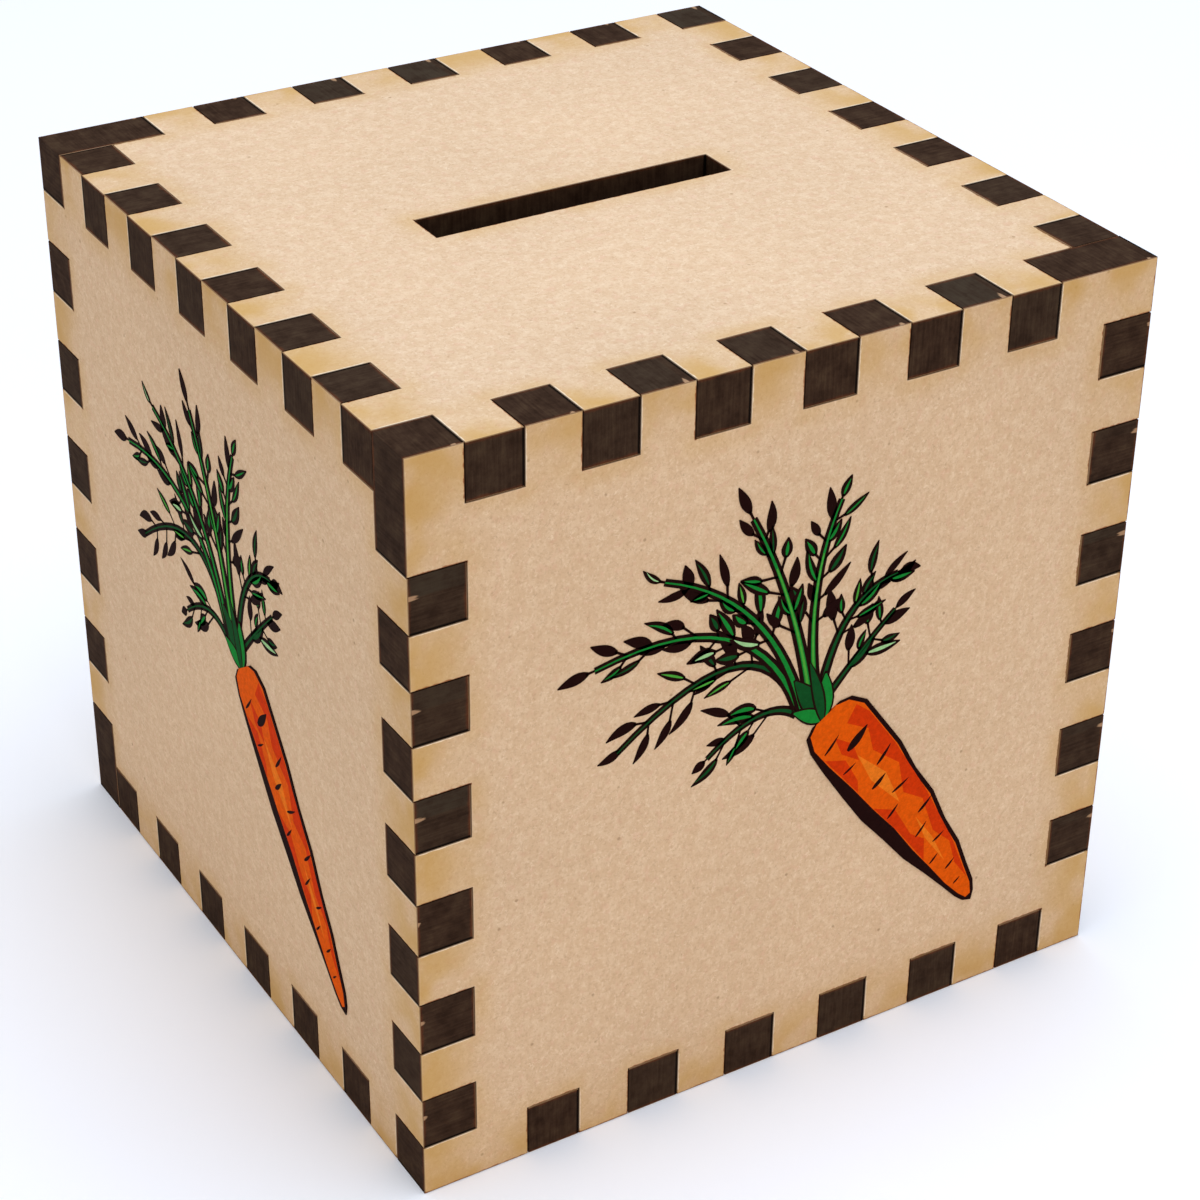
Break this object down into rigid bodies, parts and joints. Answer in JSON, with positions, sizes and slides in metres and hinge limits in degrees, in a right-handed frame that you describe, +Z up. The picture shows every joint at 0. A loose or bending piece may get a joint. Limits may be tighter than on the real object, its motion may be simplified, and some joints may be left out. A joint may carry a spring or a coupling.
{
  "type": "wooden money box",
  "caption": "Cube-shaped money box of finger-jointed boards with a coin slot in the top and a pull-out rubber bung in the base.",
  "frame": {"origin": "centre of the underside of the base board, on the surface that the box stands on", "axes": "+Z up, +X to the right along the front board, +Y from the front board to the back board"},
  "size_m": [0.084, 0.084, 0.084],
  "materials": {
    "board": "bare medium-density fibreboard, laser-cut with charred edges",
    "bung_rubber": "matt moulded black rubber",
    "printed_ink": "thin cured ink print of a plain carrot in orange, green and dark brown"
  },
  "bodies": {
    "box": {"front_panel": "board", "back_panel": "board", "left_panel": "board", "right_panel": "board", "top_panel": "board", "bottom_panel": "board"},
    "bung": {"rubber_bung": "bung_rubber"}
  },
  "joints": [
    {"name": "bung_pull", "type": "slide", "parent": "box", "child": "bung", "axis": [0, 0, -1], "range_m": [0, 0.016]}
  ]
}
